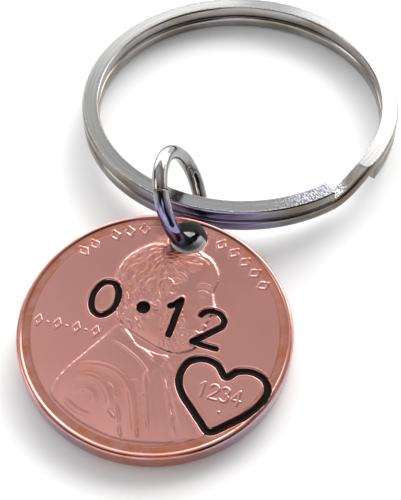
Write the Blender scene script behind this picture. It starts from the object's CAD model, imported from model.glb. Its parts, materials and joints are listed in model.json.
# Penny keychain, dressed for the render: a drilled and stamped coin, a jump ring and a split key ring
import json
import math

import bpy
import numpy as np
from mathutils import Matrix, Vector
from mathutils.geometry import delaunay_2d_cdt
from mathutils.kdtree import KDTree


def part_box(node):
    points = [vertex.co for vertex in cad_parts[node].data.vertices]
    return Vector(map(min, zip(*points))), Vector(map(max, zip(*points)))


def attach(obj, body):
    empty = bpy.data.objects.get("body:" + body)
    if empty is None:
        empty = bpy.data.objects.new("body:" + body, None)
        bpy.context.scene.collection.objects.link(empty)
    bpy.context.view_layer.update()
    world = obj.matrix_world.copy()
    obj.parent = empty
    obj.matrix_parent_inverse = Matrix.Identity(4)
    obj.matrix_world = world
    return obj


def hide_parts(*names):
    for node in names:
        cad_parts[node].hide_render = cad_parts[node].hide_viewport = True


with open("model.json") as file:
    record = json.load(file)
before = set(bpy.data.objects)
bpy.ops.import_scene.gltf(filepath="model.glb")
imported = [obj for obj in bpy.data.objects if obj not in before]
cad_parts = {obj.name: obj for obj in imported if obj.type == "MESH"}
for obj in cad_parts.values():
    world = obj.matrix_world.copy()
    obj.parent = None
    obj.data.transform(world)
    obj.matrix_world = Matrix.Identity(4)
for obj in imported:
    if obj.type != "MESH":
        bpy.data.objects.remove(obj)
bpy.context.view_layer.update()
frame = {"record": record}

mm = 0.001               # every piece is modelled in millimetres and shrunk when it is placed
up = Vector((0, 0, 1))
record = frame["record"]
mountAxis = {mount["name"]: Vector(mount["axis"]) for mount in record["mounts"]}
joint = {entry["name"]: entry for entry in record["behaviour"]["joints"]}


# Frames of the three pieces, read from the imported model

def boxMiddle(node):
    low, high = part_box(node)
    return (Vector(low) + Vector(high)) / 2


def frameOf(origin, zAxis, xAxis):
    z = zAxis.normalized()
    y = z.cross(xAxis).normalized()
    x = y.cross(z)
    return Matrix.Translation(origin) @ Matrix((x, y, z)).transposed().to_4x4()


def headingOn(zAxis, degrees):
    flat = Vector((math.cos(math.radians(degrees)), math.sin(math.radians(degrees)), 0))
    return up.rotation_difference(zAxis) @ flat


lay = {"coinHoleSide": 73.4, "freeEnd": -57.0, "jumpSeam": 150.0}   # degrees, as the pieces lie at rest
coinNormal = -mountAxis["coin_back"]
coinAcross = headingOn(coinNormal, lay["coinHoleSide"]).cross(coinNormal)
coinFrame = frameOf(boxMiddle("coin"), coinNormal, coinAcross)
ringNormal = mountAxis["ring_face"]
ringFrame = frameOf(boxMiddle("split_ring"), ringNormal, headingOn(ringNormal, lay["freeEnd"]))
jumpNormal = -Vector(joint["coin_travel"]["axis"])
jumpAcross = jumpNormal.cross(up).normalized()
jumpRise = (up - jumpNormal * jumpNormal.z).normalized()
seamTurn = math.radians(lay["jumpSeam"])
jumpFrame = frameOf(Vector(joint["coin_travel"]["pos_m"]), jumpNormal,
                    math.sin(seamTurn) * jumpAcross - math.cos(seamTurn) * jumpRise)
print("frames read")


# Camera. Its place and lens in millimetres, its tilt and roll in degrees, its nearest reach in metres

camera = {"place": (-1.5165, -57.269, 69.814), "tilt": 37.39, "roll": 0.09, "lens": 84.9, "near": 0.005}


def addCamera():
    data = bpy.data.cameras.new("camera")
    data.lens = camera["lens"]
    data.clip_start = camera["near"]
    item = bpy.data.objects.new("camera", data)
    bpy.context.scene.collection.objects.link(item)
    item.matrix_world = (Matrix.Translation(Vector(camera["place"]) * mm)
                         @ Matrix.Rotation(math.radians(camera["tilt"]), 4, "X")
                         @ Matrix.Rotation(math.radians(camera["roll"]), 4, "Z"))
    bpy.context.scene.camera = item


addCamera()
bpy.context.scene.view_settings.view_transform = "Standard"


# Node helpers

def hexColor(text):
    parts = [int(text[i:i + 2], 16) / 255 for i in (1, 3, 5)]
    return (*[c / 12.92 if c <= 0.04045 else ((c + 0.055) / 1.055) ** 2.4 for c in parts], 1)


def linkTo(tree, node, links):
    for name, socket in links.items():
        tree.links.new(socket, node.inputs[name])


def addNode(tree, kind, links=None, values=None, **settings):
    # A value given as text is a colour
    node = tree.nodes.new("ShaderNode" + kind)
    for name, setting in settings.items():
        setattr(node, name, setting)
    for name, value in (values or {}).items():
        node.inputs[name].default_value = hexColor(value) if isinstance(value, str) else value
    linkTo(tree, node, links or {})
    return node


def newMaterial(name, **values):
    material = bpy.data.materials.new(name)
    material.use_nodes = True
    shader = material.node_tree.nodes["Principled BSDF"]
    for socket, value in values.items():
        shader.inputs[socket.replace("_", " ")].default_value = value
    return material, material.node_tree, shader


# Floor, sky and lamps. Sizes in metres, headings and heights in degrees

studio = {
    "floorColor": "#FBFBFB", "floorSize": 1.2, "floorLift": 0.06, "skyLow": 0.02,
    # soft boxes of a light tent, in rows by height: heading from the far side to the right, and strength
    "boxInner": 6, "boxOuter": 26,
    "boxes": {10: [(-150, 1.30), (-120, 0.59), (-90, 0.79), (-30, 4.57), (30, 1.53), (60, 1.61),
                   (90, 0.60), (180, 1.17)],
              36: [(-108, 0.15), (-72, 0.58), (-36, 0.66), (0, 0.90), (72, 0.28), (108, 0.34)],
              62: [(-60, 0.55), (0, 0.48), (60, 0.30)],
              90: [(0, 0.53)]},
    # panels with sharper edges: heading, height, inner and outer reach, strength and colour
    "panels": [(-1, 16, 19.5, 22.5, 2.6, "#FFFFFF"), (34, 31, 13, 22, 4.8, "#FFFDFA"),
               (-85, 30, 5, 14, 2.6, "#FFFFFF"), (18, 36, 6, 10, 3.6, "#FFFFFF"),
               (52, 8, 5, 12, 2.2, "#FFFFFF"), (180, 44, 4, 15, 1.2, "#E6E3FA")],
    # lamps for the floor and its shadows, which metal doesn't mirror: heading, height and radiance
    "lamps": [(40, 28, 1.9), (0, 25, 1.1), (10, 46, 2.5)], "lampReach": 0.3, "lampHalf": 18}


def addFloor():
    bpy.ops.mesh.primitive_plane_add(size=studio["floorSize"], location=(0, 0, 0))
    floor = bpy.context.object
    floor.name = "floor"
    material, tree, shader = newMaterial("matt_paper", Roughness=1.0)
    shader.inputs["Base Color"].default_value = hexColor(studio["floorColor"])
    # a small share of the paper glows, for the camera and in mirrors only, so it lights nothing else
    path = addNode(tree, "LightPath")
    seen = addNode(tree, "Math", {0: path.outputs["Is Camera Ray"], 1: path.outputs["Is Glossy Ray"]},
                   operation="MAXIMUM")
    seen = addNode(tree, "Math", {0: seen.outputs[0], 1: path.outputs["Is Transmission Ray"]},
                   operation="MAXIMUM")
    part = addNode(tree, "Math", {0: seen.outputs[0]}, {1: studio["floorLift"]}, operation="MULTIPLY")
    glow = addNode(tree, "Emission")
    mix = addNode(tree, "MixShader", {0: part.outputs[0], 1: shader.outputs[0], 2: glow.outputs[0]})
    tree.links.new(mix.outputs[0], tree.nodes["Material Output"].inputs["Surface"])
    floor.data.materials.append(material)


def toward(heading, height):
    flat, turn = math.cos(math.radians(height)), math.radians(heading)
    return Vector((flat * math.sin(turn), flat * math.cos(turn), math.sin(math.radians(height))))


def addSky():
    world = bpy.data.worlds.new("studio")
    bpy.context.scene.world = world
    world.use_nodes = True
    tree = world.node_tree
    direction = addNode(tree, "TexCoord")
    total = addNode(tree, "VectorMath", None, {0: (studio["skyLow"],) * 3}, operation="ADD")
    soft = [(heading, height, studio["boxInner"], studio["boxOuter"], strength, "#FFFFFF")
            for height, row in studio["boxes"].items() for heading, strength in row]
    for heading, height, inner, outer, strength, colour in soft + studio["panels"]:
        dot = addNode(tree, "VectorMath", {0: direction.outputs["Generated"]}, {1: toward(heading, height)},
                      operation="DOT_PRODUCT")
        box = addNode(tree, "MapRange", {"Value": dot.outputs["Value"]},
                      {"From Min": math.cos(math.radians(outer)), "From Max": math.cos(math.radians(inner)),
                       "To Max": strength}, interpolation_type="SMOOTHSTEP")
        total = addNode(tree, "VectorMath", {0: box.outputs[0], 2: total.outputs[0]},
                        {1: hexColor(colour)[:3]}, operation="MULTIPLY_ADD")
    tree.links.new(total.outputs[0], tree.nodes["Background"].inputs["Color"])
    tree.nodes["Background"].inputs["Strength"].default_value = 1.0


def addLamps():
    for heading, height, radiance in studio["lamps"]:
        data = bpy.data.lights.new("floor_lamp", "AREA")
        data.shape = "DISK"
        data.size = 2 * studio["lampReach"] * math.tan(math.radians(studio["lampHalf"]))
        data.energy = radiance * math.pi * math.pi * (data.size / 2) ** 2
        item = bpy.data.objects.new("floor_lamp", data)
        bpy.context.scene.collection.objects.link(item)
        item.location = studio["lampReach"] * toward(heading, height)
        item.rotation_euler = item.location.to_track_quat("Z", "Y").to_euler()
        item.visible_glossy = False


bpy.ops.object.select_all(action="DESELECT")
addFloor()
addSky()
addLamps()
print("studio ready")


# Materials. A noise scale is written as so many features for each millimetre

def copperPlate():
    # Copper plated zinc, struck and then handled: warm, bright on the relief and duller in the low places
    material, tree, shader = newMaterial("copper_plate", Metallic=1.0)
    place = addNode(tree, "TexCoord").outputs["Object"]
    cloud = addNode(tree, "TexNoise", {"Vector": place}, {"Scale": 0.26 / mm, "Detail": 4.0})
    tone = addNode(tree, "MapRange", {"Value": cloud.outputs["Fac"]},
                   {"From Min": 0.3, "From Max": 0.7, "To Max": 0.35})
    copper = addNode(tree, "Mix", {"Factor": tone.outputs[0]}, {"A": "#CE958D", "B": "#BD8077"},
                     data_type="RGBA")
    # browned in smudges where it is least handled
    toned = addNode(tree, "Attribute", attribute_name="toned")
    smudge = addNode(tree, "TexNoise", {"Vector": place},
                     {"Scale": 0.9 / mm, "Detail": 5.0, "Roughness": 0.65})
    patch = addNode(tree, "MapRange", {"Value": smudge.outputs["Fac"]}, {"From Min": 0.38, "From Max": 0.62})
    amount = addNode(tree, "Math", {0: toned.outputs["Fac"], 1: patch.outputs[0]}, operation="MULTIPLY")
    copper = addNode(tree, "Mix", {"Factor": amount.outputs[0], "A": copper.outputs["Result"]},
                     {"B": "#C27655"}, data_type="RGBA")
    # the plate worn thin along the coin's edge
    edge = addNode(tree, "Attribute", attribute_name="edge")
    worn = addNode(tree, "TexNoise", {"Vector": place}, {"Scale": 0.11 / mm, "Detail": 1.0})
    worn = addNode(tree, "MapRange", {"Value": worn.outputs["Fac"]}, {"From Min": 0.40, "From Max": 0.56})
    thin = addNode(tree, "Math", {0: edge.outputs["Fac"], 1: worn.outputs[0]}, operation="MULTIPLY")
    copper = addNode(tree, "Mix", {"Factor": thin.outputs[0], "A": copper.outputs["Result"]},
                     {"B": "#B3A0B4"}, data_type="RGBA")
    # dirt in the stamped marks and at the foot of the rim
    low = addNode(tree, "Attribute", attribute_name="low")
    copper = addNode(tree, "Mix", {"Factor": low.outputs["Fac"], "A": copper.outputs["Result"]},
                     {"B": "#4A2A20"}, data_type="RGBA")
    rough = addNode(tree, "MapRange", {"Value": cloud.outputs["Fac"]},
                    {"From Min": 0.3, "From Max": 0.7, "To Min": 0.17, "To Max": 0.25})
    grain = addNode(tree, "TexNoise", {"Vector": place}, {"Scale": 9.0 / mm, "Detail": 2.0})
    bump = addNode(tree, "Bump", {"Height": grain.outputs["Fac"]}, {"Strength": 0.15, "Distance": 0.02 * mm})
    linkTo(tree, shader, {"Base Color": copper.outputs["Result"], "Roughness": rough.outputs[0],
                          "Normal": bump.outputs[0]})
    return material


def zincCore():
    # Bare zinc where the drill went through the plate: dark grey with turning marks
    material, tree, shader = newMaterial("zinc_core", Metallic=0.4)
    place = addNode(tree, "TexCoord").outputs["Object"]
    turned = addNode(tree, "VectorMath", {0: place}, {1: (0.4 / mm, 0.4 / mm, 16.0 / mm)},
                     operation="MULTIPLY")
    marks = addNode(tree, "TexNoise", {"Vector": turned.outputs[0]}, {"Scale": 1.0, "Detail": 3.0})
    tone = addNode(tree, "Mix", {"Factor": marks.outputs["Fac"]}, {"A": "#66706C", "B": "#8C9692"},
                   data_type="RGBA")
    rough = addNode(tree, "MapRange", {"Value": marks.outputs["Fac"]}, {"To Min": 0.65, "To Max": 0.4})
    bump = addNode(tree, "Bump", {"Height": marks.outputs["Fac"]}, {"Strength": 0.8, "Distance": 0.03 * mm})
    linkTo(tree, shader, {"Base Color": tone.outputs["Result"], "Roughness": rough.outputs[0],
                          "Normal": bump.outputs[0]})
    return material


def blackEnamel():
    # Stamping enamel wiped into the marks: black, nearly matt, a little uneven from the wiping
    material, tree, shader = newMaterial("black_enamel", Specular_IOR_Level=0.1)
    place = addNode(tree, "TexCoord").outputs["Object"]
    wiped = addNode(tree, "TexNoise", {"Vector": place}, {"Scale": 3.5 / mm, "Detail": 3.0})
    tone = addNode(tree, "Mix", {"Factor": wiped.outputs["Fac"]}, {"A": "#050303", "B": "#140C0B"},
                   data_type="RGBA")
    rough = addNode(tree, "MapRange", {"Value": wiped.outputs["Fac"]}, {"To Min": 0.35, "To Max": 0.6})
    bump = addNode(tree, "Bump", {"Height": wiped.outputs["Fac"]}, {"Strength": 0.3, "Distance": 0.02 * mm})
    linkTo(tree, shader, {"Base Color": tone.outputs["Result"], "Roughness": rough.outputs[0],
                          "Normal": bump.outputs[0]})
    return material


# Places on the split ring's wire, in millimetres from its free end
wirePlace = {"chatterFull": 2.0, "chatterGone": 6.5, "jumpRing": 9.5, "dull": 46.9, "bandFull": 52.0,
             "bandGone": 60.0, "heatStart": 70.4, "heatFull": 71.4, "chipStart": 73.0, "chipFull": 73.9}
# How far either side of its place a finish is at its full strength, and where it is gone
wireReach = {"jumpRing": (3.5, 6.5), "dull": (0.8, 4.0)}


def wireMap(tree, along, across):
    # Place on the split ring's wire, scaled by so much for each millimetre along it and across it
    place = addNode(tree, "UVMap", uv_map="alongWire")
    return addNode(tree, "VectorMath", {0: place.outputs[0]}, {1: (along, across, 1)},
                   operation="MULTIPLY").outputs[0]


def nearPlace(tree, name, strength=1.0, fading="LINEAR"):
    # The given strength at a place on the wire, fading to 0 on either side of it
    full, gone = wireReach[name]
    along = addNode(tree, "SeparateXYZ", {0: wireMap(tree, 1.0, 1.0)})
    apart = addNode(tree, "Math", {0: along.outputs["X"]}, {1: wirePlace[name]}, operation="SUBTRACT")
    apart = addNode(tree, "Math", {0: apart.outputs[0]}, operation="ABSOLUTE")
    return addNode(tree, "MapRange", {"Value": apart.outputs[0]},
                   {"From Min": gone, "From Max": full, "To Max": strength}, interpolation_type=fading)


def nickelSteel():
    # Nickel plated spring steel, drawn to a flat wire: warm grey, faintly drawn along the wire and tarnished
    material, tree, shader = newMaterial("nickel_steel", Metallic=1.0)
    drawn = addNode(tree, "TexNoise", {"Vector": wireMap(tree, 0.12, 14.0)}, {"Scale": 1.0, "Detail": 3.0})
    patch = addNode(tree, "TexNoise", {"Vector": wireMap(tree, 0.22, 0.8)}, {"Scale": 1.0, "Detail": 2.0})
    tone = addNode(tree, "MapRange", {"Value": patch.outputs["Fac"]}, {"From Min": 0.42, "From Max": 0.66})
    plate = addNode(tree, "Mix", {"Factor": tone.outputs[0]}, {"A": "#ABA8A7", "B": "#8F867A"},
                    data_type="RGBA")
    # the outer wall: stained in patches, violet where the jump ring rubs and browned by heat on the ramp
    stains = addNode(tree, "TexNoise", {"Vector": wireMap(tree, 0.3, 1.2)}, {"Scale": 1.0, "Detail": 2.0})
    stains = addNode(tree, "MapRange", {"Value": stains.outputs["Fac"]}, {"From Min": 0.40, "From Max": 0.58})
    rubbed = nearPlace(tree, "jumpRing")
    bluish = addNode(tree, "Mix", {"Factor": rubbed.outputs[0]}, {"A": "#8A8681", "B": "#8C8AA8"},
                     data_type="RGBA")
    clean = addNode(tree, "Math", {0: stains.outputs[0], 1: rubbed.outputs[0]}, operation="MAXIMUM")
    wall = addNode(tree, "Mix", {"Factor": clean.outputs[0], "B": bluish.outputs["Result"]}, {"A": "#675B50"},
                   data_type="RGBA")
    along = addNode(tree, "SeparateXYZ", {0: wireMap(tree, 1.0, 1.0)})
    onRamp = addNode(tree, "MapRange", {"Value": along.outputs["X"]},
                     {"From Min": wirePlace["heatStart"], "From Max": wirePlace["heatFull"], "To Max": 0.85})
    wall = addNode(tree, "Mix", {"Factor": onRamp.outputs[0], "A": wall.outputs["Result"]}, {"B": "#66503C"},
                   data_type="RGBA")
    outward = addNode(tree, "Attribute", attribute_name="outward")
    handled = addNode(tree, "MapRange", {"Value": outward.outputs["Fac"]},
                      {"From Min": 0.5, "From Max": 0.95, "To Max": 0.85}, interpolation_type="SMOOTHSTEP")
    skin = addNode(tree, "Mix", {"Factor": handled.outputs[0], "A": plate.outputs["Result"],
                                 "B": wall.outputs["Result"]}, data_type="RGBA")
    # chips and burrs on the ramp beside the free end
    near = addNode(tree, "MapRange", {"Value": along.outputs["X"]},
                   {"From Min": wirePlace["chipStart"], "From Max": wirePlace["chipFull"]})
    inside = addNode(tree, "MapRange", {"Value": outward.outputs["Fac"]}, {"From Min": 0.8, "From Max": 0.5})
    near = addNode(tree, "Math", {0: near.outputs[0], 1: inside.outputs[0]}, operation="MULTIPLY")
    crumbs = addNode(tree, "TexNoise", {"Vector": wireMap(tree, 4.5, 5.5)}, {"Scale": 1.0, "Detail": 3.0})
    chips = addNode(tree, "MapRange", {"Value": crumbs.outputs["Fac"]}, {"From Min": 0.44, "From Max": 0.56})
    chips = addNode(tree, "Math", {0: near.outputs[0], 1: chips.outputs[0]}, operation="MULTIPLY")
    skin = addNode(tree, "Mix", {"Factor": chips.outputs[0], "A": skin.outputs["Result"]}, {"B": "#EDEDEA"},
                   data_type="RGBA")
    rough = addNode(tree, "MapRange", {"Value": drawn.outputs["Fac"]}, {"To Min": 0.11, "To Max": 0.22})
    bump = addNode(tree, "Bump", {"Height": drawn.outputs["Fac"]}, {"Strength": 0.5, "Distance": 0.006 * mm})
    bump = addNode(tree, "Bump", {"Height": chips.outputs[0], "Normal": bump.outputs[0]},
                   {"Strength": 1.0, "Distance": 0.04 * mm})
    linkTo(tree, shader, {"Base Color": skin.outputs["Result"], "Roughness": rough.outputs[0],
                          "Normal": bump.outputs[0]})
    return material


def groundSteel():
    # The same wire ground flat after coiling: lighter, with grinding lines along it and chatter near its end
    material, tree, shader = newMaterial("ground_steel", Metallic=1.0)
    lines = addNode(tree, "TexNoise", {"Vector": wireMap(tree, 0.10, 9.0)}, {"Scale": 1.0, "Detail": 4.0})
    scored = addNode(tree, "MapRange", {"Value": lines.outputs["Fac"]}, {"From Min": 0.36, "From Max": 0.64})
    steel = addNode(tree, "Mix", {"Factor": scored.outputs[0]}, {"A": "#868685", "B": "#949493"},
                    data_type="RGBA")
    # a duller stretch on the far side, where the wheel bit less
    dull = nearPlace(tree, "dull", 0.8, "SMOOTHSTEP")
    steel = addNode(tree, "Mix", {"Factor": dull.outputs[0], "A": steel.outputs["Result"]}, {"B": "#666667"},
                    data_type="RGBA")
    # a duller band along the inner edge
    outward = addNode(tree, "Attribute", attribute_name="outward")
    inner = addNode(tree, "MapRange", {"Value": outward.outputs["Fac"]},
                    {"From Min": -0.3, "From Max": -0.75, "To Max": 0.7}, interpolation_type="SMOOTHSTEP")
    along = addNode(tree, "SeparateXYZ", {0: wireMap(tree, 1.0, 1.0)})
    clear = addNode(tree, "MapRange", {"Value": along.outputs["X"]},
                    {"From Min": wirePlace["bandGone"], "From Max": wirePlace["bandFull"]})
    inner = addNode(tree, "Math", {0: inner.outputs[0], 1: clear.outputs[0]}, operation="MULTIPLY")
    steel = addNode(tree, "Mix", {"Factor": inner.outputs[0], "A": steel.outputs["Result"]}, {"B": "#7A7A7A"},
                    data_type="RGBA")
    # ruts near the free end
    chatter = addNode(tree, "TexNoise", {"Vector": wireMap(tree, 7.0, 4.0)}, {"Scale": 1.0, "Detail": 3.0})
    torn = addNode(tree, "MapRange", {"Value": chatter.outputs["Fac"]}, {"From Min": 0.40, "From Max": 0.60})
    ruts = addNode(tree, "Mix", {"Factor": torn.outputs[0]}, {"A": "#707079", "B": "#9E9EA2"},
                   data_type="RGBA")
    nearEnd = addNode(tree, "MapRange", {"Value": along.outputs["X"]},
                      {"From Min": wirePlace["chatterFull"], "From Max": wirePlace["chatterGone"],
                       "To Min": 1.0, "To Max": 0.0}, interpolation_type="SMOOTHSTEP")
    steel = addNode(tree, "Mix", {"Factor": nearEnd.outputs[0], "A": steel.outputs["Result"],
                                  "B": ruts.outputs["Result"]}, data_type="RGBA")
    rough = addNode(tree, "MapRange", {"Value": lines.outputs["Fac"]}, {"To Min": 0.08, "To Max": 0.20})
    height = addNode(tree, "Mix", {"Factor": nearEnd.outputs[0], "A": lines.outputs["Fac"],
                                   "B": chatter.outputs["Fac"]})
    depth = addNode(tree, "MapRange", {"Value": nearEnd.outputs[0]},
                    {"To Min": 0.004 * mm, "To Max": 0.018 * mm})
    bump = addNode(tree, "Bump", {"Height": height.outputs[0], "Distance": depth.outputs[0]},
                   {"Strength": 1.0})
    # bright specks where the grinding broke both edges
    specks = addNode(tree, "TexNoise", {"Vector": wireMap(tree, 5.0, 7.0)}, {"Scale": 1.0, "Detail": 2.0})
    fromMiddle = addNode(tree, "Math", {0: outward.outputs["Fac"]}, operation="ABSOLUTE")
    outer = addNode(tree, "MapRange", {"Value": fromMiddle.outputs[0]},
                    {"From Min": 0.58, "From Max": 0.80, "To Max": 0.03 * mm},
                    interpolation_type="SMOOTHSTEP")
    bump = addNode(tree, "Bump", {"Height": specks.outputs["Fac"], "Distance": outer.outputs[0],
                                  "Normal": bump.outputs[0]}, {"Strength": 1.0})
    linkTo(tree, shader, {"Base Color": steel.outputs["Result"], "Roughness": rough.outputs[0],
                          "Normal": bump.outputs[0]})
    return material


def platedWire():
    # Bright plated round wire: close to a mirror, with the small waves and warm stains of bending by hand
    material, tree, shader = newMaterial("plated_wire", Metallic=1.0, Roughness=0.08)
    place = addNode(tree, "TexCoord").outputs["Object"]
    waves = addNode(tree, "TexNoise", {"Vector": place}, {"Scale": 0.7 / mm, "Detail": 2.0})
    tone = addNode(tree, "MapRange", {"Value": waves.outputs["Fac"]}, {"From Min": 0.42, "From Max": 0.62})
    plate = addNode(tree, "Mix", {"Factor": tone.outputs[0]}, {"A": "#98989A", "B": "#8C867F"},
                    data_type="RGBA")
    # violet tarnish above the coin's hole, and rubbed dark inside it
    apart = addNode(tree, "SeparateXYZ", {0: place})
    front = addNode(tree, "MapRange", {"Value": apart.outputs["Y"]},
                    {"From Min": -4 * mm, "From Max": -5 * mm})
    plate = addNode(tree, "Mix", {"Factor": front.outputs[0], "A": plate.outputs["Result"]}, {"B": "#8684A8"},
                    data_type="RGBA")
    low = addNode(tree, "MapRange", {"Value": apart.outputs["Z"]},
                  {"From Min": 3.4 * mm, "From Max": 2.6 * mm})
    inHole = addNode(tree, "Math", {0: low.outputs[0], 1: front.outputs[0]}, operation="MULTIPLY")
    plate = addNode(tree, "Mix", {"Factor": inHole.outputs[0], "A": plate.outputs["Result"]},
                    {"B": "#4C5653"}, data_type="RGBA")
    bump = addNode(tree, "Bump", {"Height": waves.outputs["Fac"]}, {"Strength": 1.0, "Distance": 0.06 * mm})
    linkTo(tree, shader, {"Base Color": plate.outputs["Result"], "Normal": bump.outputs[0]})
    return material


finish = {"copper": copperPlate(), "zinc": zincCore(), "enamel": blackEnamel(), "nickel": nickelSteel(),
          "ground": groundSteel(), "wire": platedWire()}
print("materials ready")


# Drawing helpers. Points are rows of x and y in millimetres on the coin's face

# How close two points may come, as shares of the spacing that they are laid out with
nearestShares = {"contour": 0.7, "guides": 0.6, "filling": 0.62}
offCurve = 0.01          # farthest that a point of a contour may lie off its curve


def arc(centre, radii, start, end, steps):
    turns = np.radians(np.linspace(start, end, steps + 1))
    return np.column_stack((centre[0] + radii[0] * np.cos(turns), centre[1] + radii[1] * np.sin(turns)))


def smoothLine(points, closed=False, steps=6):
    # Catmull-Rom curve through the points
    points = np.array(points, float)
    if closed:
        padded = np.vstack((points[-1:], points, points[:2]))
    else:
        padded = np.vstack((2 * points[:1] - points[1:2], points, 2 * points[-1:] - points[-2:-1]))
    shares = np.linspace(0, 1, steps, endpoint=False)[:, None]
    parts = []
    for a, b, c, d in zip(padded, padded[1:], padded[2:], padded[3:]):
        parts.append(0.5 * (2 * b + (c - a) * shares + (2 * a - 5 * b + 4 * c - d) * shares ** 2
                            + (3 * b - a - 3 * c + d) * shares ** 3))
    line = np.vstack(parts)
    return np.vstack((line, line[:1] if closed else points[-1:]))


def lineDistance(points, line, reach=None):
    # Least distance to a polyline, and how far along it the nearest place lies, from 0 to 1
    best = np.full(len(points), 1e9)
    along = np.zeros(len(points))
    near = np.arange(len(points))
    if reach is not None:
        low, high = line.min(0) - reach, line.max(0) + reach
        near = np.flatnonzero(((points > low) & (points < high)).all(1))
    if not len(near):
        return best, along
    chosen = points[near]
    lengths = np.hypot(*(line[1:] - line[:-1]).T)
    starts = np.concatenate(([0], np.cumsum(lengths)))
    bestNear, alongNear = best[near], along[near]
    for i, (a, b) in enumerate(zip(line, line[1:])):
        run = b - a
        share = np.clip(((chosen - a) @ run) / max(run @ run, 1e-12), 0, 1)
        gap = np.hypot(*(chosen - a - share[:, None] * run).T)
        closer = gap < bestNear
        bestNear[closer] = gap[closer]
        alongNear[closer] = (starts[i] + share[closer] * lengths[i]) / starts[-1]
    best[near], along[near] = bestNear, alongNear
    return best, along


def insideOf(points, outline):
    inside = np.zeros(len(points), bool)
    for (ax, ay), (bx, by) in zip(outline, np.roll(outline, -1, 0)):
        if ay == by:
            continue
        crosses = (ay > points[:, 1]) != (by > points[:, 1])
        at = (bx - ax) * (points[:, 1] - ay) / (by - ay) + ax
        inside ^= crosses & (points[:, 0] < at)
    return inside


def strokeDistance(points, lines, halfWidth, reach=1.5):
    return np.min([lineDistance(points, line, reach)[0] for line in lines], axis=0) - halfWidth


def outlineDistance(points, outline):
    gap = lineDistance(points, np.vstack((outline, outline[:1])))[0]
    return np.where(insideOf(points, outline), -gap, gap)


def evenly(line, spacing):
    lengths = np.hypot(*(line[1:] - line[:-1]).T)
    starts = np.concatenate(([0], np.cumsum(lengths)))
    places = np.linspace(0, starts[-1], max(int(starts[-1] / spacing), 2) + 1)
    return np.column_stack([np.interp(places, starts, line[:, i]) for i in (0, 1)])


def contour(lines, distanceAt, offset, level, spacing):
    # Points on the curve where distanceAt equals level: the lines moved sideways, and arcs round their ends
    found = []
    for line in lines:
        path = evenly(line, spacing)
        run = np.gradient(path, axis=0)
        run /= np.maximum(np.hypot(*run.T), 1e-9)[:, None]
        side = np.column_stack((-run[:, 1], run[:, 0]))
        found += [path + side * offset, path - side * offset]
        if offset > 0:
            ends = max(int(math.tau * offset / spacing), 8)
            for tip in line:
                found.append(arc(tip, (offset, offset), 0, 360 - 360 / ends, ends - 1))
    points = np.vstack(found)
    onCurve = points[np.abs(distanceAt(points) - level) < offCurve]
    return thinned(onCurve, spacing * nearestShares["contour"])


def thinned(points, spacing):
    # Drops points closer than spacing to one before them
    cells, result = {}, []
    for x, y in points:
        i, j = int(x // spacing), int(y // spacing)
        near = [cells.get((i + right, j + above), ()) for right in (-1, 0, 1) for above in (-1, 0, 1)]
        if all(math.hypot(x - u, y - v) >= spacing for cell in near for u, v in cell):
            cells.setdefault((i, j), []).append((x, y))
            result.append((x, y))
    return np.array(result).reshape(-1, 2)


def awayFrom(kept, points, spacing):
    # Drops points closer than spacing to one of the kept points
    tree = KDTree(len(kept))
    for i, (x, y) in enumerate(kept):
        tree.insert((x, y, 0), i)
    tree.balance()
    return np.array([p for p in points if tree.find((p[0], p[1], 0))[2] >= spacing])


def hexPoints(spacing, low, high):
    x, y = np.meshgrid(np.arange(low[0], high[0], spacing),
                       np.arange(low[1], high[1], spacing * math.sqrt(3) / 2))
    x[1::2] += spacing / 2
    return np.column_stack((x.ravel(), y.ravel()))


def ease(value):
    value = np.clip(value, 0, 1)
    return value * value * (3 - 2 * value)


# Coin. Sizes in millimetres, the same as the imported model's

coin = {
    "radius": 9.525, "thickness": 1.52, "rimWidth": 0.29, "rimSlope": 0.12, "rimHeight": 0.12,
    "bandWidth": 0.52, "bandRise": 0.03, "crease": 0.014, "creaseHalf": 0.035, "dirtReach": 0.05,
    "edgeRound": 0.24, "edgeWear": 0.08, "holeRadius": 1.35, "holeReach": 7.815, "holeBreak": 0.08,
    "edgeCorners": 360, "holeCorners": 110, "dotCorners": 48, "edgeStartShare": 0.12, "edgeSteps": 7,
    "boreLevels": (0.3, 0.0, -0.3), "holeSlack": 0.004,
    "edgeToned": 0.7, "bandToned": 0.95, "tonedBandShare": 0.6, "creaseDirt": 0.35, "footDirt": 0.45,
    "fieldGrid": 0.15, "coatGrid": 0.072, "headGrid": 0.062, "contourGrid": 0.07, "markGrid": 0.055,
    "stampDepth": 0.20, "stampWall": 0.11, "lipHeight": 0.022, "lipWidth": 0.07, "lipPlace": 0.04,
    "digitHalf": 0.25, "heartHalf": 0.28, "markHalf": 0.075, "markHeight": 0.038, "markSlopeShare": 1.3,
    "markReach": 0.12, "markSearch": 0.3, "coatFrom": 0.005, "headFrom": 0.004, "lockFade": 0.05}
fieldHeight = coin["thickness"] / 2 - coin["rimHeight"]
rimFoot = coin["radius"] - coin["rimWidth"] - coin["rimSlope"]
bandFoot = rimFoot - coin["bandWidth"]
holeCentre = np.array((0.0, coin["holeReach"]))

digitLines = [
    arc((-4.1, 1.36), (0.90, 1.37), 90, 450, 40),
    np.array([(0.48, 2.02), (0.74, 2.22), (1.08, 2.68), (1.04, -0.18)]),
    np.vstack((arc((3.55, 1.78), (0.86, 0.74), 165, -28, 16), [(2.74, -0.20), (4.42, -0.24)])),
]
dotCentre, dotRadius = np.array((-1.29, 1.36)), 0.5
heartLine = smoothLine([
    (5.66, -2.12), (6.30, -1.50), (7.22, -1.24), (8.12, -1.50), (8.58, -2.20), (8.50, -3.10), (7.84, -4.24),
    (6.80, -5.34), (5.72, -6.22), (4.90, -5.66), (4.17, -5.00), (3.20, -4.10), (2.70, -3.20), (2.72, -2.20),
    (3.16, -1.52), (3.95, -1.20), (4.90, -1.40)], True)

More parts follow.
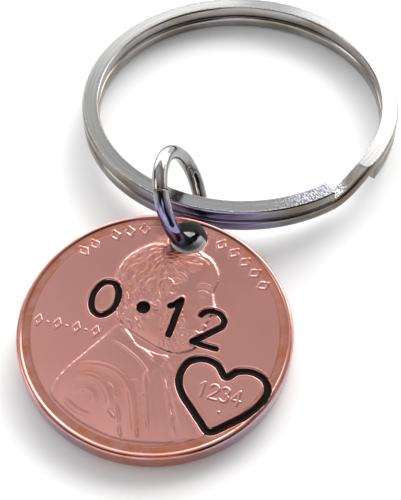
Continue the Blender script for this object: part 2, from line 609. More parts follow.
headShares = [
    (-0.247, -0.024), (-0.330, 0.085), (-0.392, 0.215), (-0.420, 0.360), (-0.398, 0.500), (-0.322, 0.625),
    (-0.205, 0.712), (-0.060, 0.750), (0.090, 0.742), (0.215, 0.690), (0.300, 0.605), (0.328, 0.510),
    (0.322, 0.425), (0.335, 0.365), (0.385, 0.262), (0.398, 0.236), (0.352, 0.215), (0.362, 0.172),
    (0.344, 0.148), (0.352, 0.118), (0.338, 0.085), (0.352, 0.020), (0.318, -0.075), (0.240, -0.130),
    (0.160, -0.150)]
coatShares = [
    (0.160, -0.190), (0.185, -0.300), (0.270, -0.520), (0.400, -0.765), (0.25, -0.845), (0.0, -0.885),
    (-0.25, -0.845), (-0.40, -0.785), (-0.531, -0.704), (-0.544, -0.605), (-0.506, -0.481), (-0.423, -0.326),
    (-0.345, -0.185)]
headOutline = smoothLine(np.array(headShares + [(0.0, -0.12)]) * coin["radius"], True, 5)[:-1]
bustOutline = smoothLine(np.array(headShares + coatShares) * coin["radius"], True, 5)[:-1]
coatOutline = smoothLine(np.array(coatShares + [(-0.247, -0.024), (-0.08, -0.16), (0.08, -0.18)])
                         * coin["radius"], True, 5)[:-1]


def stampDistance(points):
    digits = strokeDistance(points, digitLines, coin["digitHalf"])
    heart = strokeDistance(points, [heartLine], coin["heartHalf"])
    dot = np.hypot(*(points - dotCentre).T) - dotRadius
    return np.minimum(np.minimum(digits, heart), dot)


def softForms(outline, spreads):
    # A domed form over an outline: its own flat shape blurred by several widths, kept inside the outline
    step, half = 0.05, 10.0
    side = np.arange(-half, half, step)
    x, y = np.meshgrid(side, side)
    mask = insideOf(np.column_stack((x.ravel(), y.ravel())), outline).reshape(x.shape).astype(float)
    waves = np.fft.fftfreq(len(side), step)
    power = waves[:, None] ** 2 + waves[None, :] ** 2
    spectrum = np.fft.fft2(mask)
    total = np.zeros_like(mask)
    for spread, height in spreads:
        soft = np.fft.ifft2(spectrum * np.exp(-2 * math.pi ** 2 * spread ** 2 * power)).real
        total += height * np.clip(2 * soft - 1, 0, 1)

    def sample(points):
        place = np.clip((points + half) / step, 0, len(side) - 2)
        cell = place.astype(int)
        share = place - cell
        i, j = cell[:, 1], cell[:, 0]
        u, v = share[:, 0], share[:, 1]
        return (total[i, j] * (1 - u) * (1 - v) + total[i, j + 1] * u * (1 - v)
                + total[i + 1, j] * (1 - u) * v + total[i + 1, j + 1] * u * v)
    return sample


headForm = softForms(headOutline, [(0.05, 0.040), (0.4, 0.020), (1.3, 0.050)])
coatForm = softForms(coatOutline, [(0.05, 0.040), (0.5, 0.015), (1.2, 0.030)])


def ridge(points, line, width, height, taper=0.25):
    # A rounded ridge along a line, thinning out at both ends
    gap, along = lineDistance(points, line, width * 1.5)
    fade = ease(np.minimum(along, 1 - along) / taper + 0.15)
    return height * fade * np.clip(1 - (gap / width) ** 2, 0, None)


def mound(points, centre, spread, height):
    return height * np.exp(-(((points - np.array(centre)) / np.array(spread)) ** 2).sum(1) / 2)


hairOutline = smoothLine([
    (-2.35, -0.1), (-3.2, 0.9), (-3.7, 2.0), (-4.0, 3.4), (-3.8, 4.8), (-3.0, 6.0), (-1.9, 6.8), (-0.5, 7.1),
    (0.9, 7.0), (2.0, 6.5), (2.65, 5.9), (1.9, 5.5), (1.35, 4.9), (1.05, 4.1), (0.75, 3.3), (0.3, 2.9),
    (0.1, 4.1), (-0.9, 4.1), (-1.0, 2.6), (-1.2, 1.2)], True, 4)[:-1]
beardOutline = smoothLine([
    (0.75, 3.2), (0.35, 2.2), (0.1, 0.8), (0.3, -0.4), (1.3, -1.3), (2.3, -1.2), (3.0, -0.7), (3.3, 0.2),
    (3.1, 0.7), (2.4, 0.75), (1.7, 1.2), (1.2, 2.1), (1.0, 3.1)], True, 4)[:-1]


def hairHeading(point):
    x, y = point - np.array((0.3, 3.2))
    return math.atan2(y, x) + math.radians(98) + 0.35 * math.sin(1.6 * point[0] + 2.1 * point[1])


def beardHeading(point):
    return math.radians(-68 + 12 * point[0]) + 0.3 * math.sin(3 * point[0] - 2 * point[1])


lockFields = [   # outline, spacing, length, heading, bulk
    (hairOutline, 0.36, 1.25, hairHeading, 1.5), (beardOutline, 0.26, 0.7, beardHeading, 1.15)]


def strands():
    # Locks of hair and beard: short tapered lines that follow the way the hair is combed
    draw = np.random.default_rng(7)
    lines, steps = [], 8
    for outline, spacing, length, heading, bulk in lockFields:
        starts = hexPoints(spacing, outline.min(0), outline.max(0))
        starts = starts + draw.uniform(-0.08, 0.08, starts.shape)
        for start in starts[insideOf(starts, outline)]:
            reach = length * draw.uniform(0.6, 1.2)
            twist = draw.uniform(-0.6, 0.6)
            line = [start]
            for i in range(steps):
                turn = heading(line[-1]) + twist * math.sin(i * 0.8)
                line.append(line[-1] + reach / steps * np.array((math.cos(turn), math.sin(turn))))
            lines.append((np.array(line), bulk * draw.uniform(0.08, 0.16), bulk * draw.uniform(0.010, 0.034)))
    return lines


faceRidges = [   # line, width, height: own design on textbook proportions
    ([(1.72, 4.12), (2.3, 4.34), (2.95, 4.20)], 0.18, 0.022),
    ([(1.92, 3.56), (2.18, 3.78), (2.52, 3.82), (2.82, 3.64)], 0.07, 0.018),
    ([(2.0, 3.46), (2.35, 3.34), (2.74, 3.46)], 0.06, 0.012),
    ([(2.95, 3.9), (3.10, 3.3), (3.42, 2.5)], 0.30, 0.022),
    ([(2.95, 2.50), (2.90, 2.25), (3.10, 2.12)], 0.08, 0.016),
    ([(2.7, 2.0), (2.55, 1.6)], 0.09, 0.010),
    ([(3.30, 1.60), (2.85, 1.56)], 0.12, 0.018),
    ([(3.32, 1.20), (2.85, 1.18)], 0.13, 0.020),
    ([(0.05, 3.30), (0.10, 3.78), (-0.25, 4.04), (-0.68, 3.86), (-0.82, 3.35), (-0.62, 2.70), (-0.28, 2.20)],
     0.12, 0.035),
    ([(-0.10, 3.55), (-0.42, 3.50), (-0.48, 3.05), (-0.25, 2.65)], 0.09, 0.022),
    ([(0.10, 3.05), (0.05, 2.70)], 0.10, 0.025)]
faceMounds = [   # centre, spread, height
    ((2.36, 3.58), (0.24, 0.15), 0.020), ((2.3, 3.8), (0.55, 0.38), -0.022), ((1.8, 2.7), (0.6, 0.4), 0.02),
    ((3.2, 2.3), (0.16, 0.14), 0.015), ((2.9, 0.25), (0.5, 0.4), 0.02), ((2.2, 5.0), (0.6, 0.5), 0.012),
    ((-0.22, 2.28), (0.17, 0.2), 0.022), ((-0.25, 3.1), (0.2, 0.3), -0.015)]
coatRidges = [   # line, width, height: back, collar, lapels, the coat's opening and the folds of the shoulder
    ([(-2.42, -0.40), (-3.20, -1.75), (-3.96, -3.10), (-4.75, -4.58), (-5.10, -5.76), (-4.98, -6.75)],
     0.12, 0.034),
    ([(-2.30, -0.50), (-0.60, -1.50), (0.89, -2.41)], 0.12, 0.034),
    ([(-2.75, -1.55), (-1.30, -2.05), (0.10, -2.85), (1.15, -4.10)], 0.09, 0.026),
    ([(-0.30, -0.95), (0.70, -1.45), (1.70, -1.92)], 0.09, 0.026),
    ([(1.44, -2.95), (2.20, -4.30), (3.20, -6.40), (3.72, -7.30)], 0.12, 0.036),
    ([(0.60, -2.90), (0.45, -3.60), (0.95, -5.00), (1.50, -6.40), (1.95, -7.60)], 0.11, 0.033),
    ([(1.60, -2.60), (2.60, -4.30), (3.85, -6.60)], 0.10, 0.030),
    ([(0.95, -2.50), (0.60, -3.30), (1.05, -4.80), (1.60, -6.20), (2.05, -7.30)], 0.38, 0.022),
    ([(-4.30, -4.20), (-3.40, -3.85), (-2.33, -3.72), (-1.40, -3.95), (-0.67, -4.45), (0.00, -5.60)],
     0.34, 0.034),
    ([(-1.89, -4.70), (-1.35, -5.05), (-0.89, -5.70)], 0.10, 0.030),
    ([(-3.90, -4.90), (-3.10, -4.65), (-2.20, -4.90), (-1.40, -5.70), (-1.05, -6.70)], 0.30, 0.030),
    ([(-1.15, -6.60), (-0.44, -7.10)], 0.12, 0.036),
    ([(-0.75, -6.15), (-0.30, -6.80), (-0.10, -7.45)], 0.10, 0.030),
    ([(-0.10, -7.50), (0.30, -8.20)], 0.12, 0.036),
    ([(-0.40, -4.30), (0.20, -5.60), (0.90, -7.20), (1.30, -8.00)], 0.28, 0.030),
    ([(1.05, -7.30), (1.35, -7.95)], 0.10, 0.030),
    ([(-0.35, -4.10), (0.15, -4.05)], 0.08, 0.024),
    ([(0.45, -4.88), (0.95, -4.95)], 0.08, 0.024),
    ([(-3.60, -6.00), (-3.05, -5.60), (-2.45, -5.85), (-2.20, -6.50)], 0.26, 0.024),
    ([(-4.20, -6.70), (-3.20, -7.20), (-2.10, -7.40)], 0.22, 0.020)]
bowTie = [([(1.15, -1.75), (1.75, -2.1)], 0.16, 0.025), ([(1.75, -2.1), (2.3, -1.75)], 0.15, 0.02),
          ([(1.75, -2.1), (2.3, -2.6)], 0.15, 0.02), ([(1.75, -2.1), (1.25, -2.6)], 0.15, 0.02)]
shirtOutline = smoothLine([
    (1.4, -1.5), (2.2, -1.55), (2.35, -3.0), (3.5, -4.9), (4.95, -6.75), (4.3, -7.3), (3.4, -7.5),
    (2.3, -5.2), (1.5, -3.0)], True, 4)[:-1]
shirtForm = softForms(shirtOutline, [(0.05, 0.025), (0.4, 0.01)])


marks = {
    "rimRadius": 8.28, "rimSize": (0.62, 0.92),
    "rimTurns": (146, 139.5, 128, 120.5, 113, 73, 65, 57.5, 49.5, 41.5),   # degrees from the coin's right
    "rowStart": (-7.95, -1.60), "rowStep": (0.68, 0.045), "rowCount": 7,
    "rowTurn": 0.05, "rowSize": (0.46, 0.84),
    "digitStart": (4.10, -3.92), "digitStep": (0.78, 0), "digitSize": 1.06,
    "pelletHalf": 0.03, "lastPellet": (5.90, -4.70)}
smallDigits = [   # one to four, in a box one high
    np.array([(0.12, 0.78), (0.30, 1.0), (0.30, 0.0)]),
    np.vstack((arc((0.27, 0.72), (0.27, 0.28), 160, -35, 10), [(0.0, 0.0), (0.56, 0.0)])),
    np.vstack((arc((0.25, 0.76), (0.24, 0.24), 150, -80, 8), arc((0.25, 0.27), (0.27, 0.27), 80, -150, 8))),
    np.array([(0.42, 0.0), (0.42, 1.0), (0.0, 0.30), (0.58, 0.30)])]


def lozenge(centre, turn, width, height):
    x = np.array((math.cos(turn), math.sin(turn))) * width / 2
    y = np.array((-math.sin(turn), math.cos(turn))) * height / 2
    return np.array([centre + x, centre + y, centre - x, centre - y, centre + x])


def pellet(centre):
    return np.array([centre - (marks["pelletHalf"], 0), centre + (marks["pelletHalf"], 0)])


def raisedMarks():
    # Plain lozenges and pellets round the rim and beside the portrait, and plain digits inside the heart
    lines = []
    for degrees in marks["rimTurns"]:
        turn = math.radians(degrees)
        centre = marks["rimRadius"] * np.array((math.cos(turn), math.sin(turn)))
        lines.append(lozenge(centre, turn - math.pi / 2, *marks["rimSize"]))
    for i in range(marks["rowCount"]):
        centre = np.array(marks["rowStart"]) + i * np.array(marks["rowStep"])
        lines.append(pellet(centre) if i % 2 else lozenge(centre, marks["rowTurn"], *marks["rowSize"]))
    for i, digit in enumerate(smallDigits):
        corner = np.array(marks["digitStart"]) + i * np.array(marks["digitStep"])
        lines.append(corner + digit * marks["digitSize"])
    lines.append(pellet(np.array(marks["lastPellet"])))
    return lines


markLines = raisedMarks()
strandLines = strands()


def rimRise(points):
    # From the field outward: a fine crease, a nearly flat band, the steep foot of the rim and its top
    radius = np.hypot(*points.T)
    shelf = coin["bandRise"] * ease((radius - bandFoot) / coin["bandWidth"])
    crease = coin["crease"] * np.exp(-((radius - bandFoot) / coin["creaseHalf"]) ** 2)
    rise = (coin["rimHeight"] - coin["bandRise"]) * ease((radius - rimFoot) / coin["rimSlope"])
    return shelf - crease + rise


def rimDirt(points):
    # Dirt kept in the crease and in the corner at the foot of the rim
    radius = np.hypot(*points.T)
    inCrease, atFoot = [np.exp(-((radius - place) / coin["dirtReach"]) ** 2) for place in (bandFoot, rimFoot)]
    return coin["creaseDirt"] * inCrease + coin["footDirt"] * atFoot


def obverseHeight(points):
    height = rimRise(points)
    shirt = shirtForm(points)
    coat = coatForm(points)
    head = headForm(points)
    body = np.maximum(np.maximum(shirt, coat), head)
    for line, width, tall in coatRidges + bowTie:
        body = body + ridge(points, smoothLine(line), width, tall) * (coat + shirt > coin["coatFrom"])
    inHead = head > coin["headFrom"]
    for line, width, tall in faceRidges:
        body = body + ridge(points, smoothLine(line), width, tall) * inHead
    for centre, spread, tall in faceMounds:
        body = body + mound(points, centre, spread, tall) * inHead
    locks = np.zeros(len(points))
    for line, width, tall in strandLines:
        locks = np.maximum(locks, ridge(points, line, width, tall, 0.4))
    body = body + locks * np.minimum(head / coin["lockFade"], 1)
    fromMark = strokeDistance(points, markLines, coin["markHalf"])
    raised = coin["markHeight"] * ease(0.5 - fromMark / (coin["markSlopeShare"] * coin["markHalf"]))
    height = height + np.maximum(body, raised)
    gap = stampDistance(points)
    sunk = ease(-gap / coin["stampWall"])
    lip = coin["lipHeight"] * np.exp(-((gap - coin["lipPlace"]) / coin["lipWidth"]) ** 2) * (1 - sunk)
    return height * (1 - sunk) - coin["stampDepth"] * sunk + lip, np.maximum(sunk, rimDirt(points))


toning = [   # centre, spread, amount
    ((0.1, 6.1), (1.5, 0.7), 0.9), ((-1.5, 4.6), (1.0, 0.7), 0.55), ((-2.9, 3.0), (0.5, 1.1), 0.45),
    ((-0.6, 3.6), (0.7, 0.5), 0.5), ((0.7, 0.3), (0.8, 0.7), 0.4), ((1.3, 2.0), (0.6, 0.9), 0.3),
    ((-3.0, -4.2), (0.7, 0.4), 0.4), ((-0.6, -5.1), (0.6, 0.9), 0.4), ((1.0, -6.6), (0.5, 1.0), 0.35)]


def tonedPlaces(points):
    # Where the copper has browned: round the rim's inner slope and in the low places of hair and coat
    radius = np.hypot(*points.T)
    fromBand = (radius - (rimFoot + bandFoot) / 2) / (coin["tonedBandShare"] * coin["bandWidth"])
    toned = coin["bandToned"] * np.exp(-fromBand ** 4)
    for centre, spread, amount in toning:
        toned = np.maximum(toned, mound(points, centre, spread, amount))
    return toned


reverse = {
    "lineHalf": 0.16, "shoulder": 0.2, "height": 0.10, "grid": 0.1, "search": 2.0, "stemRadius": 6.3,
    "stemEnds": (-82, 62), "stemSteps": 40, "leaf": 0.95, "leafLean": 0.6, "leafEvery": 3, "leafLast": 35}


def wreath():
    # The numeral is drawn as seen through the coin, so it reads right from behind
    lines = [np.array([(0.9, 1.6), (0.0, 2.6), (0.0, -2.4)]), np.array([(-0.9, -2.4), (0.9, -2.4)])]
    for side in (-1, 1):
        stem = arc((0, 0), (side * reverse["stemRadius"], reverse["stemRadius"]), *reverse["stemEnds"],
                   reverse["stemSteps"])
        lines.append(stem)
        feet = list(zip(stem[2:], stem[3:], stem[4:]))[:reverse["leafLast"]:reverse["leafEvery"]]
        for before, foot, after in feet:
            turn = math.atan2(*(after - before)[::-1])
            for lean in (reverse["leafLean"], -reverse["leafLean"]):
                tip = foot + reverse["leaf"] * np.array((math.cos(turn + lean), math.sin(turn + lean)))
                lines.append(np.array([foot, tip]))
    return lines


reverseLines = wreath()


def reverseHeight(points):
    gap = strokeDistance(points, reverseLines, reverse["lineHalf"], reverse["search"])
    return rimRise(points) + reverse["height"] * ease(0.5 - gap / reverse["shoulder"]), rimDirt(points)


def circle(radius, corners, centre=(0, 0)):
    turns = np.linspace(0, math.tau, corners, endpoint=False)
    return np.column_stack((centre[0] + radius * np.cos(turns), centre[1] + radius * np.sin(turns)))


# How far from each feature's edge its guide points lie
guideOffsets = {
    "rim": (-0.06, 0.0, 0.06, 0.12, 0.2), "band": (-0.1, -0.05, 0.0, 0.05, 0.1, 0.25),
    "stamp": (0.0, 0.05, -0.05, 0.11, -0.11, 0.18, -0.18), "mark": (-0.05, 0.0, 0.05),
    "bust": (0.0, 0.08, 0.16), "wreath": (-0.1, 0.0, 0.1)}


def guidePoints(side):
    # Points along the edges of every feature, so that the triangles follow them
    guides = [circle(rimFoot + offset, coin["edgeCorners"]) for offset in guideOffsets["rim"]]
    guides += [circle(bandFoot + offset, coin["edgeCorners"]) for offset in guideOffsets["band"]]
    step = coin["contourGrid"]
    if side > 0:
        for level in guideOffsets["stamp"]:
            for lines, half in ((digitLines, coin["digitHalf"]), ([heartLine], coin["heartHalf"])):
                guides.append(contour(lines, lambda p: strokeDistance(p, lines, half), half + level,
                                      level, step))
            guides.append(circle(dotRadius + level, coin["dotCorners"], dotCentre))
        for offset in guideOffsets["mark"]:
            guides.append(contour(markLines, lambda p: strokeDistance(p, markLines, coin["markHalf"]),
                                  coin["markHalf"] + offset, offset, step))
        closed = np.vstack((bustOutline, bustOutline[:1]))
        for offset in guideOffsets["bust"]:
            guides.append(contour([closed], lambda p: outlineDistance(p, bustOutline), offset, -offset, step))
    else:
        half = reverse["lineHalf"]
        for offset in guideOffsets["wreath"]:
            guides.append(contour(reverseLines, lambda p: strokeDistance(p, reverseLines, half),
                                  half + offset, offset, reverse["grid"]))
    return thinned(np.vstack(guides), step * nearestShares["guides"])


def facePoints(side):
    # The face's points: edge and hole loops first, then the features' edges, then an even filling
    outer = circle(coin["radius"] - coin["edgeRound"], coin["edgeCorners"])
    hole = circle(coin["holeRadius"] + coin["holeBreak"], coin["holeCorners"], holeCentre)
    fixed = np.vstack((outer, hole))
    guides = awayFrom(fixed, guidePoints(side), coin["contourGrid"] * nearestShares["guides"])
    fixed = np.vstack((fixed, guides))
    box = (-coin["radius"],) * 2, (coin["radius"],) * 2
    fills = [(coin["fieldGrid"], None)]
    if side > 0:
        nearMarks = lambda p: (strokeDistance(p, markLines, coin["markHalf"], coin["markSearch"])
                               < coin["markReach"])
        fills = [(coin["markGrid"], nearMarks), (coin["headGrid"], lambda p: insideOf(p, headOutline)),
                 (coin["coatGrid"], lambda p: insideOf(p, bustOutline)), (coin["fieldGrid"], None)]
    for spacing, wanted in fills:
        extra = hexPoints(spacing, *box)
        if wanted is not None:
            extra = extra[wanted(extra)]
        fixed = np.vstack((fixed, awayFrom(fixed, extra, spacing * nearestShares["filling"])))
    radius = np.hypot(*fixed.T)
    fromHole = np.hypot(*(fixed - holeCentre).T)
    onFace = radius < coin["radius"] - coin["edgeRound"] + 1e-6
    return fixed[onFace & (fromHole > coin["holeRadius"] + coin["holeBreak"] - 1e-6)]


def triangles(points):
    faces = np.array(delaunay_2d_cdt([Vector(p) for p in points], [], [], 0, 1e-9)[2])
    middle = points[faces].mean(1)
    fromHole = np.hypot(*(middle - holeCentre).T)
    return faces[fromHole > coin["holeRadius"] + coin["holeBreak"] - coin["holeSlack"]]


def meshFrom(name, vertices, faces):
    mesh = bpy.data.meshes.new(name)
    mesh.from_pydata([tuple(v) for v in vertices], [], [tuple(f) for f in faces])
    mesh.update()
    item = bpy.data.objects.new(name, mesh)
    bpy.context.scene.collection.objects.link(item)
    return item


def quadBand(first, second, count):
    # Quads between two loops of as many corners, numbered from first and second
    return [(first + i, first + (i + 1) % count, second + (i + 1) % count, second + i) for i in range(count)]


def makeCoin():
    # Both faces, then the wall of the hole and the rounded edge as loops of points between them
    vertices, faces, low, rims, bores = [], [], [], {}, {}
    edgeCount, holeCount = coin["edgeCorners"], coin["holeCorners"]
    for side, heightAt in ((1, obverseHeight), (-1, reverseHeight)):
        points = facePoints(side)
        height, sunk = heightAt(points)
        start = len(vertices)
        rims[side], bores[side] = start, start + edgeCount
        z = side * (fieldHeight + height)
        vertices += [(x, y, level) for (x, y), level in zip(points, z)]
        low += list(sunk)
        found = triangles(points) + start
        faces += [tuple(f if side > 0 else f[::-1]) for f in found]
    boreStart = len(faces)
    loops = [bores[1]]
    for share in (0.5, 1.0):
        loops.append(len(vertices))
        turn = share * math.pi / 2
        radius = coin["holeRadius"] + coin["holeBreak"] * (1 - math.sin(turn))
        for i, (x, y) in enumerate(circle(radius, holeCount, holeCentre)):
            vertices.append((x, y, vertices[bores[1] + i][2] - coin["holeBreak"] * (1 - math.cos(turn))))
            low.append(0)
    for level in (*coin["boreLevels"], -fieldHeight + coin["holeBreak"]):
        loops.append(len(vertices))
        vertices += [(x, y, level) for x, y in circle(coin["holeRadius"], holeCount, holeCentre)]
        low += [0] * holeCount
    loops.append(bores[-1])
    for first, second in zip(loops, loops[1:]):
        faces += quadBand(first, second, holeCount)
    boreEnd = len(faces)
    loops = [rims[1]]
    corner = coin["radius"] - coin["edgeRound"]
    for side in (1, -1):
        turns = np.linspace(coin["edgeStartShare"], 1, coin["edgeSteps"]) * math.pi / 2
        for turn in (turns if side > 0 else turns[::-1]):
            loops.append(len(vertices))
            radius = corner + coin["edgeRound"] * math.sin(turn)
            level = side * (coin["thickness"] / 2 - coin["edgeRound"] * (1 - math.cos(turn)))
            vertices += [(x, y, level) for x, y in circle(radius, edgeCount)]
            low += [0] * edgeCount
    loops.append(rims[-1])
    for first, second in zip(loops, loops[1:]):
        faces += [face[::-1] for face in quadBand(first, second, edgeCount)]
    item = meshFrom("copper_coin", vertices, faces)
    mesh = item.data
    corners = np.array([tuple(v)[:3] for v in vertices])
    fromMiddle = np.hypot(*corners[:, :2].T)
    wall = ease((fromMiddle - coin["radius"] + coin["edgeWear"]) / coin["edgeWear"])
    toned = np.where(fromMiddle > corner + offCurve, coin["edgeToned"], tonedPlaces(corners[:, :2]))
    for name, values in (("low", low), ("toned", toned), ("edge", wall)):
        attribute = mesh.attributes.new(name, "FLOAT", "POINT")
        attribute.data.foreach_set("value", np.array(values, np.float32))
    for name in ("copper", "zinc"):
        mesh.materials.append(finish[name])
    for i in range(boreStart + holeCount, boreEnd - holeCount):
        mesh.polygons[i].material_index = 1
    return item


def placePiece(item, where, body, material=None):
    item.data.transform(where @ Matrix.Scale(mm, 4))
    if material:
        item.data.materials.append(material)
    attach(item, body)


def finishMesh(item, degrees=40):
    bpy.ops.object.select_all(action="DESELECT")
    item.select_set(True)
    bpy.context.view_layer.objects.active = item
    bpy.ops.object.mode_set(mode="EDIT")
    bpy.ops.mesh.select_all(action="SELECT")
    bpy.ops.mesh.normals_make_consistent(inside=False)
    bpy.ops.object.mode_set(mode="OBJECT")
    bpy.ops.object.shade_smooth_by_angle(angle=math.radians(degrees))
    item.select_set(False)


copperCoin = makeCoin()
finishMesh(copperCoin, 60)
placePiece(copperCoin, coinFrame, "coin")
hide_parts("coin")
print("coin ready:", len(copperCoin.data.polygons), "faces")


# Enamel in the stamped marks

enamel = {
    "edge": 0.035, "sink": 0.075, "hollow": 0.05, "thick": 0.045, "grid": 0.08, "rimStep": 0.05,
    "rimGap": 0.03, "slack": 0.001, "dotLine": (0.01, 0)}


def makeEnamel(name, lines, half):
    edge = half - enamel["edge"]
    distanceAt = lambda p: strokeDistance(p, lines, half)
    rim = contour(lines, distanceAt, edge, -enamel["edge"], enamel["rimStep"])
    fill = hexPoints(enamel["grid"], rim.min(0), rim.max(0))
    fill = fill[distanceAt(fill) < -enamel["edge"] - enamel["rimGap"]]
    points = np.vstack((rim, awayFrom(rim, fill, enamel["rimStep"])))
    faces = np.array(delaunay_2d_cdt([Vector(p) for p in points], [], [], 0, 1e-9)[2])
    faces = faces[distanceAt(points[faces].mean(1)) < -enamel["edge"] - enamel["slack"]]
    depth = ease(-(distanceAt(points) + enamel["edge"]) / (half - enamel["edge"]))
    z = fieldHeight - enamel["sink"] - enamel["hollow"] * depth
    item = meshFrom(name, [(x, y, level) for (x, y), level in zip(points, z)], faces)
    shell = item.modifiers.new("thickness", "SOLIDIFY")
    shell.thickness = enamel["thick"]
    shell.offset = -1
    bpy.context.view_layer.objects.active = item
    item.select_set(True)
    bpy.ops.object.modifier_apply(modifier=shell.name)
    finishMesh(item, 50)
    placePiece(item, coinFrame, "coin", finish["enamel"])
    return item


for name, line in zip(("enamel_zero", "enamel_one", "enamel_two"), digitLines):
    makeEnamel(name, [line], coin["digitHalf"])
dotLine = np.array([dotCentre - enamel["dotLine"], dotCentre + enamel["dotLine"]])
makeEnamel("enamel_dot", [dotLine], dotRadius)
makeEnamel("enamel_heart", [heartLine], coin["heartHalf"])
print("enamel ready")


# Split ring

splitRing = {
    "radius": 12.55, "width": 1.32, "height": 1.075, "coilGap": 0.05, "ground": 0.10, "crown": 0.05,
    "ramp": 21.0, "lowerEnd": 22.0, "step": 1.5, "rampStep": 0.5, "sides": 48, "squareness": 4.0,
    "edgeBreak": 0.02}   # ramp, lowerEnd and the steps are in degrees
coilPitch = splitRing["height"] + splitRing["coilGap"]
wireMiddle = splitRing["radius"] - splitRing["width"] / 2
groundTop = splitRing["height"] / 2 + coilPitch / 2 - splitRing["ground"]


def ringWireHeight(turn):
    # Height of the wire's middle above the ring's own middle, so many degrees from the free end
    drop = ease(np.array((turn - (360 - splitRing["ramp"])) / splitRing["ramp"]))
    return coilPitch * (0.5 - float(drop))


def ringStations():
    plain, end = 360 - splitRing["ramp"], 720 - splitRing["lowerEnd"]
    upper = np.arange(0, plain, splitRing["step"])
    ramp = np.arange(plain, 360, splitRing["rampStep"])
    lower = np.append(np.arange(360, end, splitRing["step"]), end)
    return np.concatenate((upper, ramp, lower))


def ringSection():
    # Flat sided wire with well rounded corners, a little higher in its middle
    power = 2 / splitRing["squareness"]
    section = []
    for turn in (np.arange(splitRing["sides"]) + 0.5) / splitRing["sides"] * math.tau:
        x = math.copysign(abs(math.cos(turn)) ** power, math.cos(turn))
        z = math.copysign(abs(math.sin(turn)) ** power, math.sin(turn)) * (1 - splitRing["crown"] * x * x)
        section.append((x * splitRing["width"] / 2, z * splitRing["height"] / 2))
    return section


def isGround(face):
    # Level and at the ground height, apart from rounding
    return abs(face.normal.z) > 0.9999 and abs(abs(face.center.z) - groundTop) < 0.001


def unrollRing(mesh):
    # A map in millimetres along the wire and across it, and the ground faces flat in their own finish
    sheet = mesh.uv_layers.new(name="alongWire").data
    for face in mesh.polygons:
        facing = math.atan2(-face.center.y, face.center.x) % math.tau
        for corner in face.loop_indices:
            x, y, z = mesh.vertices[mesh.loops[corner].vertex_index].co
            turn = (math.atan2(-y, x) - facing + math.pi) % math.tau + facing - math.pi
            sheet[corner].uv = (turn * wireMiddle, math.hypot(x, y) - wireMiddle + z)
        face.material_index = int(isGround(face))
        face.use_smooth = not isGround(face)
    # from -1 at the bore to 1 at the outer wall
    radii = [math.hypot(point.co.x, point.co.y) for point in mesh.vertices]
    outward = (np.array(radii, np.float32) - wireMiddle) / (splitRing["width"] / 2)
    mesh.attributes.new("outward", "FLOAT", "POINT").data.foreach_set("value", outward.astype(np.float32))


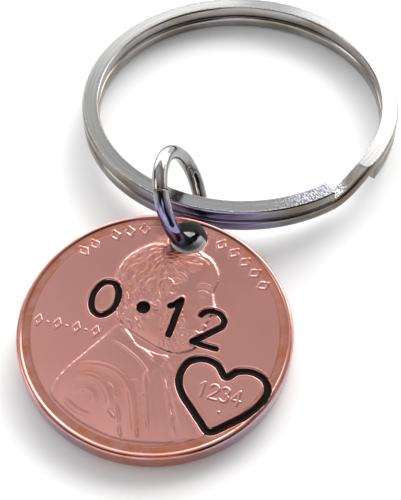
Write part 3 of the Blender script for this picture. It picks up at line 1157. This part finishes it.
def makeSplitRing():
    section = ringSection()
    vertices, faces = [], []
    stations = ringStations()
    for turn in stations:
        angle = -math.radians(turn)
        slope = (ringWireHeight(turn + 0.5) - ringWireHeight(turn - 0.5)) / (wireMiddle * math.radians(1.0))
        outward = Vector((math.cos(angle), math.sin(angle), 0))
        tangent = Vector((math.sin(angle), -math.cos(angle), slope)).normalized()
        rise = tangent.cross(outward)
        rise = rise if rise.z > 0 else -rise
        centre = outward * wireMiddle + up * ringWireHeight(turn)
        vertices += [centre + outward * x + rise * z for x, z in section]
    count = splitRing["sides"]
    for i in range(len(stations) - 1):
        faces += quadBand(i * count, (i + 1) * count, count)
    faces.append(tuple(range(count))[::-1])
    faces.append(tuple(range(len(vertices) - count, len(vertices))))
    item = meshFrom("split_ring_wire", vertices, faces)
    finishMesh(item)
    # both faces ground flat, and the edge of the ground faces broken
    bpy.context.view_layer.objects.active = item
    bpy.ops.object.mode_set(mode="EDIT")
    for side in (1, -1):
        bpy.ops.mesh.select_all(action="SELECT")
        bpy.ops.mesh.bisect(plane_co=(0, 0, side * groundTop), plane_no=(0, 0, side), use_fill=True,
                            clear_outer=True, threshold=0.0001)
    bpy.ops.mesh.select_all(action="DESELECT")
    bpy.ops.object.mode_set(mode="OBJECT")
    for face in item.data.polygons:
        face.select = isGround(face)
    bpy.ops.object.mode_set(mode="EDIT")
    bpy.ops.mesh.region_to_loop()
    bpy.ops.mesh.bevel(offset=splitRing["edgeBreak"], segments=2, affect="EDGES", clamp_overlap=True)
    bpy.ops.mesh.select_all(action="DESELECT")
    bpy.ops.mesh.select_face_by_sides(number=4, type="GREATER")
    bpy.ops.mesh.quads_convert_to_tris(ngon_method="BEAUTY")
    bpy.ops.object.mode_set(mode="OBJECT")
    finishMesh(item, 30)
    unrollRing(item.data)
    return item


keyRing = makeSplitRing()
placePiece(keyRing, ringFrame, "split_ring", finish["nickel"])
keyRing.data.materials.append(finish["ground"])
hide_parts("split_ring")
print("split ring ready:", len(keyRing.data.polygons), "faces")


# Jump ring

jumpRing = {"radius": 3.40, "wire": 0.55, "butt": 0.06, "steps": 220, "sides": 44, "endBreak": 0.05}


def makeJumpRing():
    bpy.ops.object.select_all(action="DESELECT")
    bpy.ops.mesh.primitive_circle_add(vertices=jumpRing["sides"], radius=jumpRing["wire"], fill_type="NGON",
                                      location=(jumpRing["radius"], 0, 0), rotation=(math.pi / 2, 0, 0))
    item = bpy.context.object
    item.name = "jump_ring_wire"
    bpy.ops.object.transform_apply(location=True, rotation=True, scale=True)
    bpy.ops.object.mode_set(mode="EDIT")
    bpy.ops.mesh.select_all(action="SELECT")
    bpy.ops.mesh.spin(steps=jumpRing["steps"], angle=math.tau - jumpRing["butt"] / jumpRing["radius"],
                      center=(0, 0, 0), axis=(0, 0, 1))
    bpy.ops.object.mode_set(mode="OBJECT")
    finishMesh(item, 40)
    edge = item.modifiers.new("edge", "BEVEL")
    edge.width = jumpRing["endBreak"]
    edge.segments = 3
    edge.angle_limit = math.radians(50)
    item.select_set(True)
    bpy.context.view_layer.objects.active = item
    bpy.ops.object.modifier_apply(modifier=edge.name)
    finishMesh(item, 50)
    return item


linkRing = makeJumpRing()
placePiece(linkRing, jumpFrame, "jump_ring", finish["wire"])
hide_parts("jump_ring")
print("jump ring ready:", len(linkRing.data.polygons), "faces")
